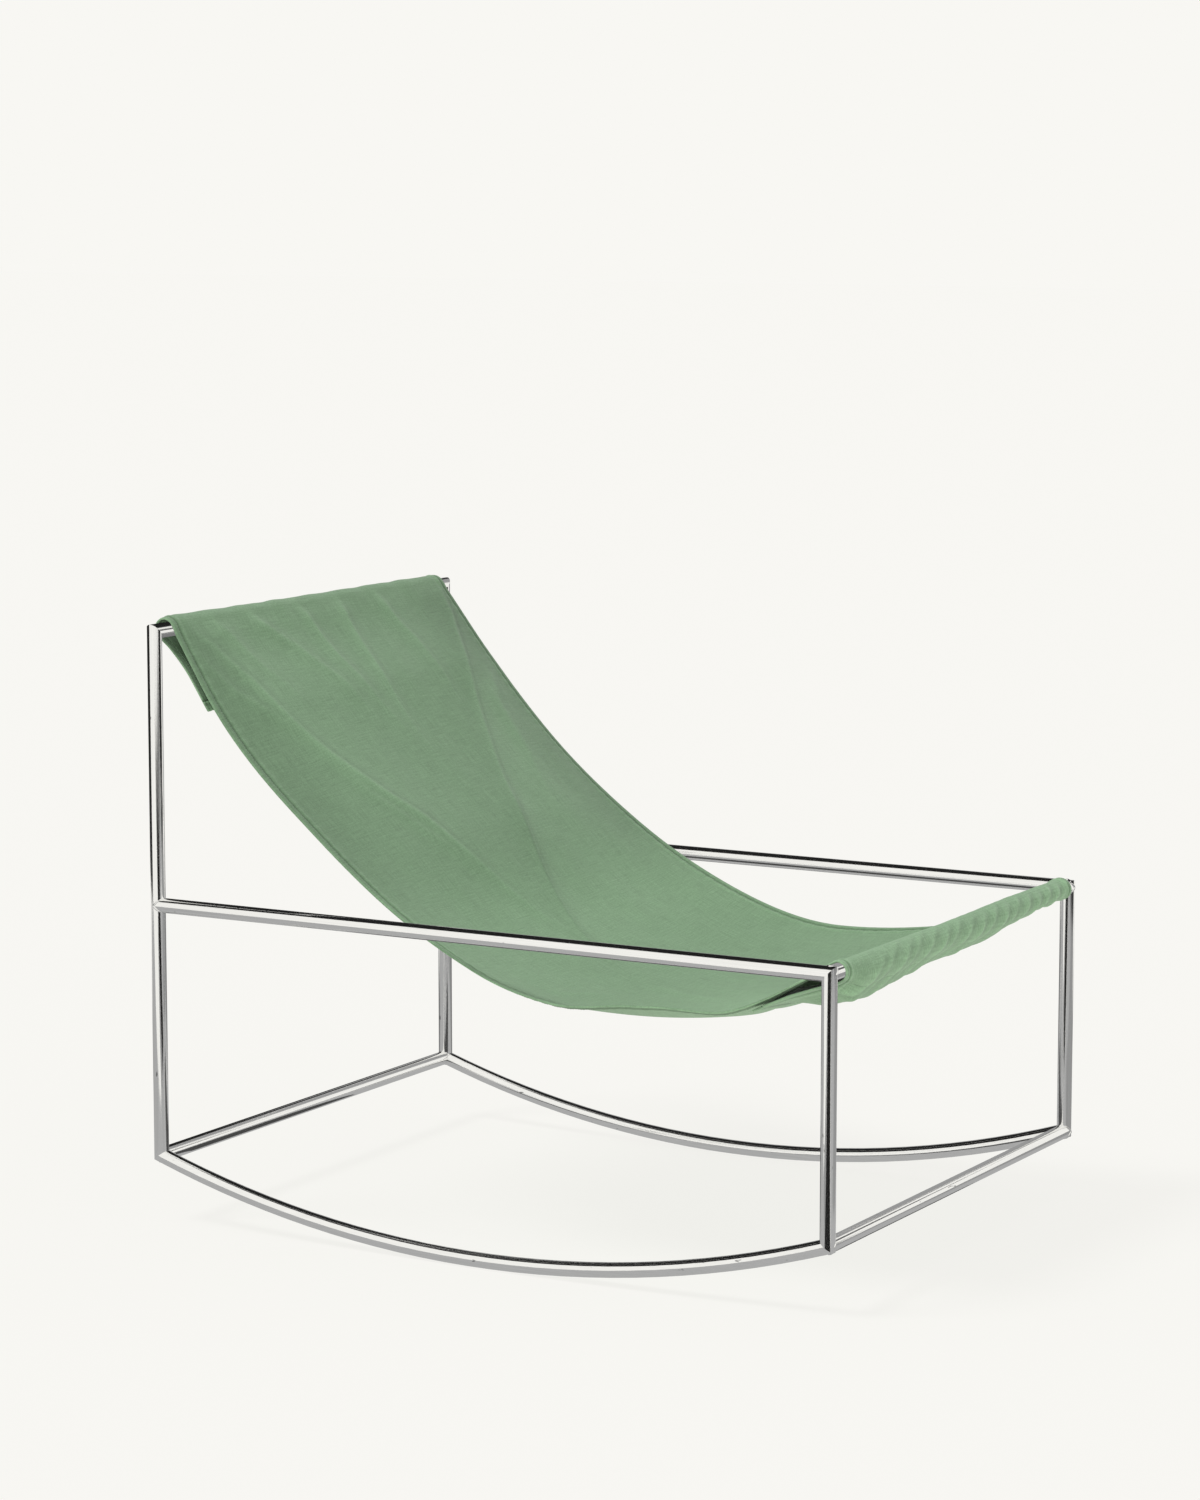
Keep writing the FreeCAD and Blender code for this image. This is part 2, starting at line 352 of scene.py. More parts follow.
def panel_stations(x):
    rear_leave = around(top_bar, rear_leave_angle(x))
    front_reach = around(front_bar, front_reach_angle(x))
    return [
        rear_leave,
        along(rear_leave, rear_run),
        hung(back_point, x, back_tilt, back_sag, back_power),
        hung(lap_point, x, lap_tilt, lap_sag, lap_power),
        hung(low_point, x, low_tilt, seat_sag, seat_power),
        hung(front_low_point, x, low_tilt, front_sag, front_power),
        along(front_reach, -front_run),
        front_reach,
    ]


def rows_of(stations, step):
    """How many rows each span between stations gets."""
    return [max(2, round(np.linalg.norm(b[0] - a[0]) / step)) for a, b in zip(stations, stations[1:])]


PANEL_ROWS = rows_of(panel_stations(0.0), row_step)


def panel_line(x):
    """The cloth from its rear hinge line over the top bar, along back and seat and over the front bar to its
    front hinge line."""
    stations = panel_stations(x)
    rear = np.linspace(rear_wrap_end, rear_leave_angle(x), wrap_rows, endpoint=False)
    front = np.linspace(front_reach_angle(x), front_wrap_end, wrap_rows + 1)
    lines = [[around(top_bar, angle)[0] for angle in rear]]
    lines += [span(a, b, count) for a, b, count in zip(stations, stations[1:], PANEL_ROWS)]
    lines.append([around(front_bar, angle)[0] for angle in front])
    return np.concatenate(lines)


def steps_along(points):
    return np.linalg.norm(np.diff(points, axis=0), axis=1)


def ways_along(points):
    """The way along a line at each of its points."""
    return np.concatenate([[0.0], np.cumsum(steps_along(points))])


def below_panel(x, row, ways, curl):
    """Points under the panel at some ways along it from one of its rows. They lie off it by the tapes of a
    flap, and at the flap's edges also by its curl."""
    line = panel_line(x)
    arc = ways_along(line)
    ahead = np.gradient(line, arc, axis=0)
    spots = arc[row] + ways
    points = np.stack([np.interp(spots, arc, line[:, k]) for k in (0, 1)], -1)
    directions = unit(np.stack([np.interp(spots, arc, ahead[:, k]) for k in (0, 1)], -1))
    stand = flap_gap + curl * fading(from_hem(x), 0.0, tape_inset)
    return points + stand * np.stack([-directions[:, 1], directions[:, 0]], -1), directions


def flap_line(start, bend, held, directions):
    """A flap from its hinge line to the stretch where its tape holds it."""
    bend_rows = round(bend / flap_step)
    return np.concatenate([span(start, (held[0], directions[0]), bend_rows, hinge_crowding), held])


def hold_ways(bend):
    return np.linspace(bend, bend + flap_hold, round(flap_hold / flap_step) + 1)


def rear_flap_line(x):
    """The flap from the hinge line behind the top bar down behind the panel."""
    point, direction = around(top_bar, rear_wrap_end)
    held, directions = below_panel(x, wrap_rows, hold_ways(rear_flap_bend), rear_curl)
    return flap_line((point, -direction), rear_flap_bend, held, directions)


def front_flap_line(x):
    """The flap from the hinge line below the front bar back under the panel."""
    held, directions = below_panel(x, -wrap_rows - 1, -hold_ways(front_flap_bend), front_curl)
    return flap_line(around(front_bar, front_wrap_end), front_flap_bend, held, -directions)


# Folds of the cloth, as heights above its plain surface. In these functions s is the way past the top bar and
# q the way past the line where the cloth reaches the front bar.


def crease(x, way, points, right_reach, left_reach, roundness):
    """The height of the cloth beside one crease."""
    nearest = np.full(x.shape, np.inf)
    aside = np.zeros(x.shape)
    top = np.zeros(x.shape)
    for (x0, way0, low), (x1, way1, high) in zip(points, points[1:]):
        dx, dw = x1 - x0, way1 - way0
        share = np.clip(((x - x0) * dx + (way - way0) * dw) / (dx**2 + dw**2), 0, 1)
        gap = np.hypot(x - x0 - share * dx, way - way0 - share * dw)
        closer = gap < nearest
        nearest = np.where(closer, gap, nearest)
        aside = np.where(closer, x - x0 - share * dx, aside)
        top = np.where(closer, low + share * (high - low), top)
    reach = np.where(aside < 0, right_reach, left_reach)
    return top * np.exp(-(np.sqrt(nearest**2 + roundness**2) - roundness) / reach)


def beyond_folds(x, s):
    """0 between the two long folds of the back, and outside them the share of the way to the hem."""
    left_x, left_s, _ = np.array(LEFT_FOLD).T
    right_x, right_s, _ = np.array(RIGHT_FOLD).T
    left = np.interp(s, left_s, left_x)
    right = np.interp(s, right_s, right_x)
    past_left = (x - left) / (half_width - left)
    past_right = (right - x) / (half_width + right)
    return np.clip(np.maximum(past_left, past_right), 0, 1)


def back_plateau(x, s):
    """The back between its two long folds, which stands proud of the strips outside them and is rounded."""
    upper_back = window(s, 0.03, 0.16, 0.40, 0.60)
    return upper_back * (back_rise * (1 - beyond_folds(x, s)) + back_round * crown(x))


def top_ripples(x, s):
    """The slack loop over the top bar, slackest at the right and tight at its ends, and its unevenness."""
    tight_ends = 1 - 0.6 * fading(from_hem(x), 0.0, 0.030)
    right_end = 1 + 0.4 * smooth(-x, 0.10, 0.34)
    slack = top_slack * tight_ends * right_end * window(s, -0.044, -0.016, 0.0, 0.120)
    past_loop = np.maximum(s, 0) + np.maximum(-0.036 - s, 0)
    broad = 0.0008 * wave(x / 0.083 + 0.2)
    narrow = 0.0006 * wave(x / 0.047) * wave(x / 0.31 + 0.6)
    return slack + np.exp(-past_loop / 0.05) * (broad + narrow)


def front_wrinkles(x, q):
    """Wrinkles around the front bar and the slack of the loop at its left end."""
    fine = 0.0005 * wave((x + 1.1 * q) / 0.029 + 0.3) * wave(x / 0.11) * bell(q, 0.03, 0.03)
    heights = sum(crease(x, q, *values) for values in FRONT_CREASES)
    slack = front_slack * smooth(x, -0.05, 0.20) * window(q, -0.040, -0.005, 0.020, 0.045)
    return slack + (heights + fine) * smooth(from_hem(x), 0.0, 0.02)


def bag(x, q):
    """How far the loop hangs off the underside of the front bar, most of all at the right."""
    wide = 0.62 * smooth(-x, -0.27, -0.10) + 0.38 * smooth(-x, 0.05, 0.26)
    right_hem = 1 - 0.85 * smooth(-x, half_width - 0.055, half_width)
    return front_bag * wide * right_hem * window(q, 0.018, 0.060, 0.085, 0.160)


def swells(x, s):
    """Slow unevenness of hanging cloth."""
    first = np.sin(2 * math.pi * (x / 0.23 + s / 0.41) + 1.3)
    second = np.sin(2 * math.pi * (x / 0.137 - s / 0.31) + 0.4)
    third = np.sin(2 * math.pi * (x / 0.071 + s / 0.22) + 2.1)
    return 0.0005 * first + 0.0004 * second + 0.0002 * third


def puckers(x, s):
    """Small gathers along the hem seams."""
    gathers = np.sin(2 * math.pi * s / 0.017 + 1.7 * np.sin(s / 0.023))
    return 0.00045 * bell(from_hem(x), 0.016, 0.009) * gathers


def hem_form(x):
    """The raised band of a side hem, the groove of its seam and the soft ridge beside it."""
    edge = from_hem(x)
    band = 0.0008 * window(edge, 0.0, 0.003, seam_inset - 0.003, seam_inset)
    groove = 0.0010 * bell(edge, seam_inset, 0.0013)
    ridge = 0.0009 * bell(edge, seam_inset + 0.005, 0.003)
    return band - groove + ridge


def belly_hem(x, s):
    """How far the right hem stays above the belly of the seat beside it."""
    return 0.012 * smooth(-x, 0.275, 0.345) * window(s, 0.77, 0.89, 0.92, 1.04)


def hem_lift(x, s, q):
    """How far a hem stands off a bar, to leave room for its second layer."""
    band = fading(from_hem(x), hem_width, hem_width + 0.008)
    over_top_bar = window(s, -0.060, -0.040, 0.002, 0.020)
    over_front_bar = window(q, -0.020, -0.002, 0.040, 0.060)
    return 2 * fold_radius * band * np.maximum(over_top_bar, over_front_bar)


def panel_folds(x, s, q):
    free = smooth(s, 0.0, 0.03) * fading(q, -0.05, 0.0)
    heights = sum(crease(x, s, *values) for values in CREASES)
    loose = free * (heights + back_plateau(x, s) + swells(x, s) + puckers(x, s) + belly_hem(x, s))
    return loose + top_ripples(x, s) + front_wrinkles(x, q) + bag(x, q) + hem_lift(x, s, q) + hem_form(x)


def rear_flap_folds(x, s, q):
    loose = 0.6 * swells(x, s) * smooth(-s, 0.04, 0.09)
    return top_ripples(x, s) + hem_lift(x, s, q) + hem_form(x) + loose


def front_flap_folds(x, s, q):
    loose = 0.6 * swells(x, q) * smooth(q, 0.04, 0.09)
    return front_wrinkles(x, q) + bag(x, q) + hem_lift(x, s, q) + hem_form(x) + loose


# Painted light and shade on the canvas, and a few paler patches, as shares of its colour


def painted_crease_shading(x, way, creases, aside):
    """Painted highlights along creases, each with a painted shadow line beside it on its left."""
    wear = np.zeros(x.shape)
    for points, _, _, roundness in creases:
        pale_reach, dark_reach = 2.7 * roundness, 2.4 * roundness
        core = 0.6 * roundness
        pale = crease(x, way, points, pale_reach, pale_reach, core)
        dark = crease(x - aside, way, points, dark_reach, dark_reach, core)
        wear += 30 * pale - 24 * dark
    return wear


def tone(x, s, q):
    """How the canvas colour is lightened and darkened: a painted highlight over the front bar, paler towards
    the front of the seat on its right half and in the lap, painted highlights and painted shadow lines along
    creases, a painted highlight beside each hem seam, and painted shade outside the long folds, along the
    sides of the back, beside the left fold and in its crisp part."""
    below_top = smooth(s, -0.02, 0.03)
    # Painted shade: darker outside the long folds, along the sides of the back and in a band beside the left
    # fold
    outside_folds = smooth(beyond_folds(x, s), 0.02, 0.25) * below_top
    right_strip = 0.060 * smooth(-x, 0.0, 0.05) * fading(s, 0.25, 0.55)
    left_strip = smooth(x, 0.0, 0.05) * (0.040 * fading(s, 0.30, 0.55) + 0.060 * fading(s, 0.10, 0.22))
    left_side = 0.19 * smooth(x, 0.18, 0.34) * below_top * fading(s, 0.45, 0.72)
    right_side = 0.12 * smooth(-x, 0.22, 0.32) * below_top * fading(s, 0.40, 0.62)
    highest = max(height for _, _, height in LEFT_FOLD)
    beside_fold = 0.17 * crease(x, s, LEFT_FOLD, 0.140, 0.006, 0.001) / highest
    dark = outside_folds * (right_strip + left_strip) + left_side + right_side + beside_fold

    # Painted highlight over the front bar
    front = 0.16 * smooth(q, -0.22, 0.03)
    # Paler towards the front of the seat on its right half, and in the lap
    paler_seat_front = 0.22 * smooth(-x, -0.08, 0.10) * window(q, -0.46, -0.20, -0.04, 0.04)
    lap = 0.08 * bell(s, 0.60, 0.10) + 0.09 * bell(s, 0.55, 0.07) * bell(x, -0.08, 0.13)
    # Painted highlight on the soft ridge beside each hem seam
    hem_ridge = 0.12 * bell(from_hem(x), seam_inset + 0.006, 0.003)
    pale = front + paler_seat_front + lap + hem_ridge

    # Painted highlights along creases with painted shadow lines beside them, and a painted shadow line in the
    # crisp part of the left fold
    lines = painted_crease_shading(x, s, CREASES, 0.011) + 3.0 * painted_crease_shading(x, q, FRONT_CREASES, 0.011)
    sharp_fold = 60 * smooth(s, 0.36, 0.46) * crease(x, s, LEFT_FOLD, 0.0022, 0.0022, 0.0008)
    return 1 - dark + pale + lines - sharp_fold


# Meshes of hemmed cloth


def columns():
    """The x of each column of cloth, closer together on the hems, and the number of columns on a hem."""
    inner = half_width - hem_width
    outer = half_width - fold_radius
    plain = np.linspace(-inner, inner, 2 * round(inner / column_step) + 1)
    hem = np.linspace(inner, outer, round((outer - inner) / hem_step) + 1)[1:]
    return np.concatenate([-hem[::-1], plain, hem]), len(hem)


def normals_of(points, outer):
    normal = np.cross(np.gradient(points, axis=0), np.gradient(points, axis=1))
    return outer * unit(normal)


def folded(edge, away, normal):
    """The half turn of a hem at an edge of the cloth, towards its inner side, without its two ends."""
    turns = np.linspace(0, math.pi, fold_rows + 1)[1:-1]
    centre = edge - fold_radius * normal
    return [centre + fold_radius * (math.sin(a) * away + math.cos(a) * normal) for a in turns]


def grid_faces(numbers):
    """The four-sided faces between the points of a grid."""
    corners = [numbers[:-1, :-1], numbers[:-1, 1:], numbers[1:, 1:], numbers[1:, :-1]]
    return np.stack(corners, -1).reshape(-1, 4)


def mesh_of(name, points, faces):
    data = bpy.data.meshes.new(name)
    data.from_pydata([tuple(point) for point in points], [], faces)
    return data


def placed(name, data):
    piece = bpy.data.objects.new(name, data)
    bpy.context.scene.collection.objects.link(piece)
    return piece


def shown(name, data):
    data.polygons.foreach_set("use_smooth", [True] * len(data.polygons))
    data.update()
    return placed(name, data)


def thickened(piece, thickness, rounding=0.0):
    solid = piece.modifiers.new("thickness", "SOLIDIFY")
    solid.thickness = thickness
    solid.offset = 0.0
    if rounding:
        soft = piece.modifiers.new("soft_edges", "BEVEL")
        soft.width = rounding
        soft.segments = 2
        soft.angle_limit = math.radians(60)
    return piece


class Net:
    """A mesh of cloth, gathered grid by grid. Each point has its place on the flat cloth, its way to the edge
    and its tone."""

    def __init__(self, outer):
        self.outer = outer
        self.points = []
        self.faces = []
        self.flat = []
        self.values = {"edge": [], "tone": []}

    def add(self, points, across, way, edge, shade):
        """Adds a grid of points and gives their numbers."""
        shape = points.shape[:2]
        first = len(self.points)
        self.points.extend(points.reshape(-1, 3))
        self.flat.extend(np.stack(np.broadcast_arrays(across, way), -1).reshape(-1, 2))
        self.values["edge"].extend(np.broadcast_to(edge, shape).reshape(-1))
        self.values["tone"].extend(np.broadcast_to(shade, shape).reshape(-1))
        return np.arange(first, first + shape[0] * shape[1]).reshape(shape)

    def join(self, numbers):
        """Adds the faces between the points of a grid, so that they face outwards."""
        faces = grid_faces(numbers)
        self.faces.extend((faces[:, ::-1] if self.outer > 0 else faces).tolist())

    def mesh(self, name):
        data = mesh_of(name, self.points, self.faces)
        layer = data.uv_layers.new(name="UVMap")
        corners = np.zeros(len(data.loops), np.int32)
        data.loops.foreach_get("vertex_index", corners)
        layer.data.foreach_set("uv", np.array(self.flat, np.float32)[corners].ravel())
        for label, values in self.values.items():
            attribute = data.attributes.new(label, "FLOAT", "POINT")
            attribute.data.foreach_set("value", np.array(values, np.float32))
        return data


class Cloth:
    """A hemmed sheet: its points by row and column, the way along it by row, and its outer normals."""

    def __init__(self, line, folds, way, outer, past_rear, past_front):
        self.xs, self.hem_columns = columns()
        lines = np.array([line(x) for x in self.xs])
        x = np.broadcast_to(self.xs[:, None], lines.shape[:2])
        plain = np.stack([x, lines[..., 0], lines[..., 1]], -1).transpose(1, 0, 2)
        self.way = way * ways_along(plain[:, len(self.xs) // 2])
        x = plain[..., 0]
        s = np.broadcast_to((self.way + past_rear)[:, None], x.shape)
        q = np.broadcast_to((self.way + past_front)[:, None], x.shape)
        self.points = plain + normals_of(plain, outer) * folds(x, s, q)[..., None]
        self.tone = tone(x, s, q)
        self.normals = normals_of(self.points, outer)
        self.outer = outer
        self.length = abs(self.way[-1])

    def spots(self, x, way, height=0.0):
        """Points at some x and ways along the cloth, moved outwards by a height, and the normals there."""
        row = np.interp(way, np.abs(self.way), np.arange(len(self.way)))
        column = np.interp(x, self.xs, np.arange(len(self.xs)))
        i = np.minimum(row.astype(int), len(self.way) - 2)
        j = np.minimum(column.astype(int), len(self.xs) - 2)
        a, b = (row - i)[..., None], (column - j)[..., None]

        def between(values):
            first = (1 - b) * values[i, j] + b * values[i, j + 1]
            second = (1 - b) * values[i + 1, j] + b * values[i + 1, j + 1]
            return (1 - a) * first + a * second

        normals = unit(between(self.normals))
        return between(self.points) + height * normals, normals

    def side_hem(self, side):
        """One side hem's fold and underside, in the order of x: points, flat x and ways to the edge."""
        edge = 0 if side < 0 else len(self.xs) - 1
        hem = [edge - side * k for k in range(self.hem_columns + 1)]
        away = unit(self.points[:, edge] - self.points[:, edge - side])
        fold = folded(self.points[:, edge], away, self.normals[:, edge])
        under = [self.points[:, c] - 2 * fold_radius * self.normals[:, c] for c in hem]
        turn = fold_radius * math.pi / 2
        gaps = np.array([turn] * len(fold) + [turn + abs(self.xs[c] - self.xs[edge]) for c in hem])
        flat = side * (half_width + gaps)
        return np.stack(fold + under, axis=1)[:, ::side], flat[::side], gaps[::side]

    def add_end_hem(self, net, first_row, before):
        """Adds the rows from one on, which follow the row before, and the hem that is folded under them."""
        way = np.abs(self.way)[:, None]
        to_edge = np.minimum(from_hem(self.xs), self.length - way[first_row:])
        rest = net.add(self.points[first_row:], self.xs, way[first_row:], to_edge, self.tone[first_row:])
        away = unit(self.points[-1] - self.points[-2])
        fold = folded(self.points[-1], away, self.normals[-1])
        hem = range(len(self.points) - 1, first_row - 1, -1)
        under = [self.points[r] - 2 * fold_radius * self.normals[r] for r in hem]
        turn = fold_radius * math.pi / 2
        gaps = np.array([turn] * len(fold) + [turn + self.length - way[r, 0] for r in hem])[:, None]
        below = net.add(np.stack(fold + under), self.xs, self.length + gaps, gaps, self.tone[-1:])
        net.join(np.concatenate([before, rest, below]))

    def mesh(self, name, end_hem=False):
        """The sheet with its side hems and, for a flap, the hem at its end."""
        right_points, right_flat, right_gaps = self.side_hem(-1)
        left_points, left_flat, left_gaps = self.side_hem(1)
        points = np.concatenate([right_points, self.points, left_points], axis=1)
        across = np.concatenate([right_flat, self.xs, left_flat])
        to_edge = np.concatenate([right_gaps, from_hem(self.xs), left_gaps])
        margin = len(right_gaps)
        shades = np.pad(self.tone, ((0, 0), (margin, margin)), "edge")
        way = np.abs(self.way)[:, None]
        rows = len(self.points)
        if end_hem:
            rows -= round(hem_width / flap_step) + 1
        net = Net(self.outer)
        numbers = net.add(points[:rows], across, way[:rows], to_edge, shades[:rows])
        net.join(numbers)
        if end_hem:
            self.add_end_hem(net, rows, numbers[-1:, margin:-margin])
        return thickened(shown(name, net.mesh(name)), cloth)


def strip_mesh(name, sheet, start, end):
    """A tape on a sheet's inner side, between two ways along the sheet."""
    xs = np.linspace(tape_inset - half_width, half_width - tape_inset, round(half_width / column_step))
    x, way = np.meshgrid(xs, np.linspace(start, end, round((end - start) / tape_step) + 1))
    points = sheet.spots(x, way, -tape_depth)[0]
    faces = grid_faces(np.arange(x.size).reshape(x.shape)).tolist()
    return thickened(shown(name, mesh_of(name, points.reshape(-1, 3), faces)), tape_thickness, tape_rounding)


def stitches(sheet, start, end, height):
    """One line of stitches on a sheet between two spots (x, way), as (middles, directions, normals)."""
    start, end = np.array(start), np.array(end)
    count = max(2, int(np.linalg.norm(end - start) / stitch_pitch))
    shares = (np.arange(count) + 0.5) / count
    half = stitch_share / 2 / count

    def spots_at(share):
        x, way = (start + (end - start) * share[:, None]).T
        return sheet.spots(x, way, height)

    before, normals = spots_at(shares - half)
    after = spots_at(shares + half)[0]
    return (before + after) / 2, unit(after - before), normals


def stitch_mesh(name, lines):
    """Sewn thread: each stitch a small pointed bead on the cloth, made of two tips and two rings."""
    middles, directions, normals = (np.concatenate(values) for values in zip(*lines))
    across = np.cross(normals, directions)
    places = [middles + share * stitch_length * directions for share in (-0.5, 0.5)]
    for share in (-stitch_ring, stitch_ring):
        for angle in np.arange(stitch_sides) * 2 * math.pi / stitch_sides:
            upward = stitch_flatness * math.sin(angle) * normals
            spread = thread_radius * (math.cos(angle) * across + upward)
            places.append(middles + share * stitch_length * directions + spread)
    first = 2 + np.arange(stitch_sides)
    second = first + stitch_sides
    first_next, second_next = np.roll(first, -1), np.roll(second, -1)
    pattern = []
    for k in range(stitch_sides):
        pattern.append([0, first_next[k], first[k]])
        pattern.append([1, second[k], second_next[k]])
        pattern.append([first[k], first_next[k], second_next[k], second[k]])
    size = len(places)
    faces = [[int(corner) + size * n for corner in face] for n in range(len(middles)) for face in pattern]
    return shown(name, mesh_of(name, np.stack(places, axis=1).reshape(-1, 3), faces))


# Materials


def feed(tree, node, values):
    """Gives inputs of a node their values, each a constant or the output of another node."""
    for name, value in values.items():
        socket = node.inputs[name]
        if isinstance(value, bpy.types.NodeSocket):
            tree.links.new(value, socket)
        else:
            socket.default_value = value


def added(tree, kind, values):
    node = tree.nodes.new(kind)
    feed(tree, node, values)
    return node


def new_material(name):
    material = bpy.data.materials.new(name)
    material.use_nodes = True
    return material, material.node_tree, material.node_tree.nodes["Principled BSDF"]


def math_node(tree, operation, *values):
    node = added(tree, "ShaderNodeMath", dict(enumerate(values)))
    node.operation = operation
    return node.outputs[0]


def noise(tree, place, scale, detail=3.0, stretch=(1, 1, 1)):
    mapping = added(tree, "ShaderNodeMapping", {"Vector": place, "Scale": stretch})
    inputs = {"Vector": mapping.outputs[0], "Scale": scale, "Detail": detail}
    return added(tree, "ShaderNodeTexNoise", inputs).outputs["Fac"]


def attribute_of(tree, name, output):
    node = tree.nodes.new("ShaderNodeAttribute")
    node.attribute_name = name
    return node.outputs[output]


def object_place(tree):
    return tree.nodes.new("ShaderNodeTexCoord").outputs["Object"]


def ramp(tree, value, low, high):
    """A colour between two stops (value, colour)."""
    node = added(tree, "ShaderNodeValToRGB", {"Fac": value})
    for point, (place, colour) in zip(node.color_ramp.elements, (low, high)):
        point.position = place
        point.color = (*colour, 1.0)
    return node.outputs["Color"]


def multiplied(tree, first, second):
    node = tree.nodes.new("ShaderNodeMix")
    node.data_type = "RGBA"
    node.blend_type = "MULTIPLY"
    feed(tree, node, {"Factor": 1.0, "A": first, "B": second})
    return node.outputs["Result"]


def bump(tree, height, strength, distance, under=None):
    node = added(tree, "ShaderNodeBump", {"Height": height, "Strength": strength, "Distance": distance})
    if under is not None:
        feed(tree, node, {"Normal": under})
    return node.outputs["Normal"]


def grey(level):
    return (level, level, level)


def scaled(colour, factor):
    return [channel * factor for channel in colour]


def canvas(name, base):
    """Plain-weave cotton canvas: its weave, slubs in both directions, slow fading, paler worn hems, painted
    shade along the seam grooves and the painted light and shade that each point's tone carries."""
    material, tree, shader = new_material(name)
    uv = tree.nodes.new("ShaderNodeUVMap")
    uv.uv_map = "UVMap"
    place = uv.outputs["UV"]
    split = added(tree, "ShaderNodeSeparateXYZ", {0: place})
    turns = math.pi / thread_pitch
    warp = math_node(tree, "SINE", math_node(tree, "MULTIPLY", split.outputs["X"], turns))
    weft = math_node(tree, "SINE", math_node(tree, "MULTIPLY", split.outputs["Y"], turns))
    weave = math_node(tree, "MULTIPLY", warp, weft)
    weft_slubs = noise(tree, place, 1.0, 2.0, (28, 620, 1))
    warp_slubs = noise(tree, place, 1.0, 2.0, (620, 28, 1))
    slubs = math_node(tree, "ADD", weft_slubs, warp_slubs)
    mean_slubs = math_node(tree, "MULTIPLY", slubs, 0.5)
    clouds = noise(tree, place, 3.5)
    grain = noise(tree, place, 420.0, 2.0)
    rumples = noise(tree, place, 55.0)

    from_edge = attribute_of(tree, "edge", "Fac")
    edge_in_cm = math_node(tree, "MULTIPLY", from_edge, 100.0)
    from_seam = math_node(tree, "ABSOLUTE", math_node(tree, "SUBTRACT", from_edge, seam_inset))
    # The seam's groove: painted shade in the colour, and a dent through the bump below
    seam = ramp(tree, math_node(tree, "MULTIPLY", from_seam, 280.0), (0.20, grey(0.66)), (1.0, grey(1.0)))
    shades = (
        ramp(tree, mean_slubs, (0.32, grey(0.83)), (0.68, grey(1.17))),
        ramp(tree, grain, (0.32, grey(0.90)), (0.68, grey(1.10))),
        # Painted light and shade, and a few paler patches, from each point's tone
        attribute_of(tree, "tone", "Color"),
        ramp(tree, edge_in_cm, (0.08, grey(1.18)), (0.26, grey(1.0))),
        seam,
    )
    colour = ramp(tree, clouds, (0.30, scaled(base, 0.97)), (0.70, scaled(base, 1.03)))
    for shade in shades:
        colour = multiplied(tree, colour, shade)

    normal = bump(tree, weave, 0.35, 0.00025)
    normal = bump(tree, slubs, 0.30, 0.0006, normal)
    normal = bump(tree, seam, 0.6, 0.0006, normal)
    normal = bump(tree, rumples, 0.18, 0.002, normal)
    feed(tree, shader, {"Base Color": colour, "Normal": normal, "Roughness": 0.9, "Specular IOR Level": 0.15})
    feed(tree, shader, {"Sheen Weight": 0.22, "Sheen Roughness": 0.5})
    return material


def steel(name, line_stretch, mark_stretch):
    """Polished stainless tube: fine polishing lines along it, a few small marks and faint smears."""
    material, tree, shader = new_material(name)
    place = object_place(tree)
    lines = noise(tree, place, 1.0, 3.0, line_stretch)
    smears = noise(tree, place, 9.0)
    marks = noise(tree, place, 150.0, 2.0, mark_stretch)
    tint = ramp(tree, lines, (0.3, (0.88, 0.88, 0.87)), (0.7, (0.96, 0.96, 0.95)))
    spots = ramp(tree, marks, (0.235, grey(0.35)), (0.27, grey(1.0)))
    rough = added(tree, "ShaderNodeMapRange", {"Value": smears, "To Min": 0.06, "To Max": 0.14})
    feed(tree, shader, {"Base Color": multiplied(tree, tint, spots), "Roughness": rough.outputs[0]})
    feed(tree, shader, {"Normal": bump(tree, lines, 0.05, 0.0002), "Metallic": 1.0})
    return material


def pile(name, base, density):
    """The hooks or loops of a woven tape."""
    material, tree, shader = new_material(name)
    place = object_place(tree)
    depth = added(tree, "ShaderNodeTexVoronoi", {"Vector": place, "Scale": density}).outputs["Distance"]
    colour = ramp(tree, depth, (0.1, scaled(base, 1.3)), (0.6, scaled(base, 0.7)))
    dust = ramp(tree, noise(tree, place, 60.0, 4.0), (0.3, grey(0.85)), (0.7, grey(1.15)))
    relief = bump(tree, depth, 0.7, 0.0008)
    feed(tree, shader, {"Base Color": multiplied(tree, colour, dust), "Normal": relief})
    feed(tree, shader, {"Roughness": 0.85, "Sheen Weight": 0.3})
    return material


def thread(name, base):
    """Twisted sewing thread."""
    material, tree, shader = new_material(name)
    twist = noise(tree, object_place(tree), 900.0, 2.0)
    colour = ramp(tree, twist, (0.3, scaled(base, 0.8)), (0.7, scaled(base, 1.2)))
    feed(tree, shader, {"Base Color": colour, "Normal": bump(tree, twist, 0.4, 0.0002)})
    feed(tree, shader, {"Roughness": 0.7, "Sheen Weight": 0.2})
    return material


canvas_green = canvas("green_canvas", CANVAS)
thread_green = thread("green_thread", THREAD)
hook_pile = pile("hook_pile", HOOKS, 900.0)
loop_pile = pile("loop_pile", LOOPS, 600.0)
steel_x = steel("steel_across", (6, 900, 900), (0.25, 1, 1))
steel_y = steel("steel_lengthways", (900, 6, 900), (1, 0.25, 1))
steel_z = steel("steel_upright", (900, 900, 6), (1, 1, 0.25))
steel_weld = steel("weld_steel", (300, 300, 300), (1, 1, 1))


def dressed(piece, material, slot):
    """Gives a piece its material. Only steel shows in the polished steel, as in the photograph."""
    piece.data.materials.append(material)
    piece.visible_glossy = slot == "steel"
    return piece


# Steel frame: the tubes keep their solids, and weld beads run round the joints between them


def tube_material(node):
    if "post" in node:
        return steel_z
    return steel_x if "crossbar" in node else steel_y


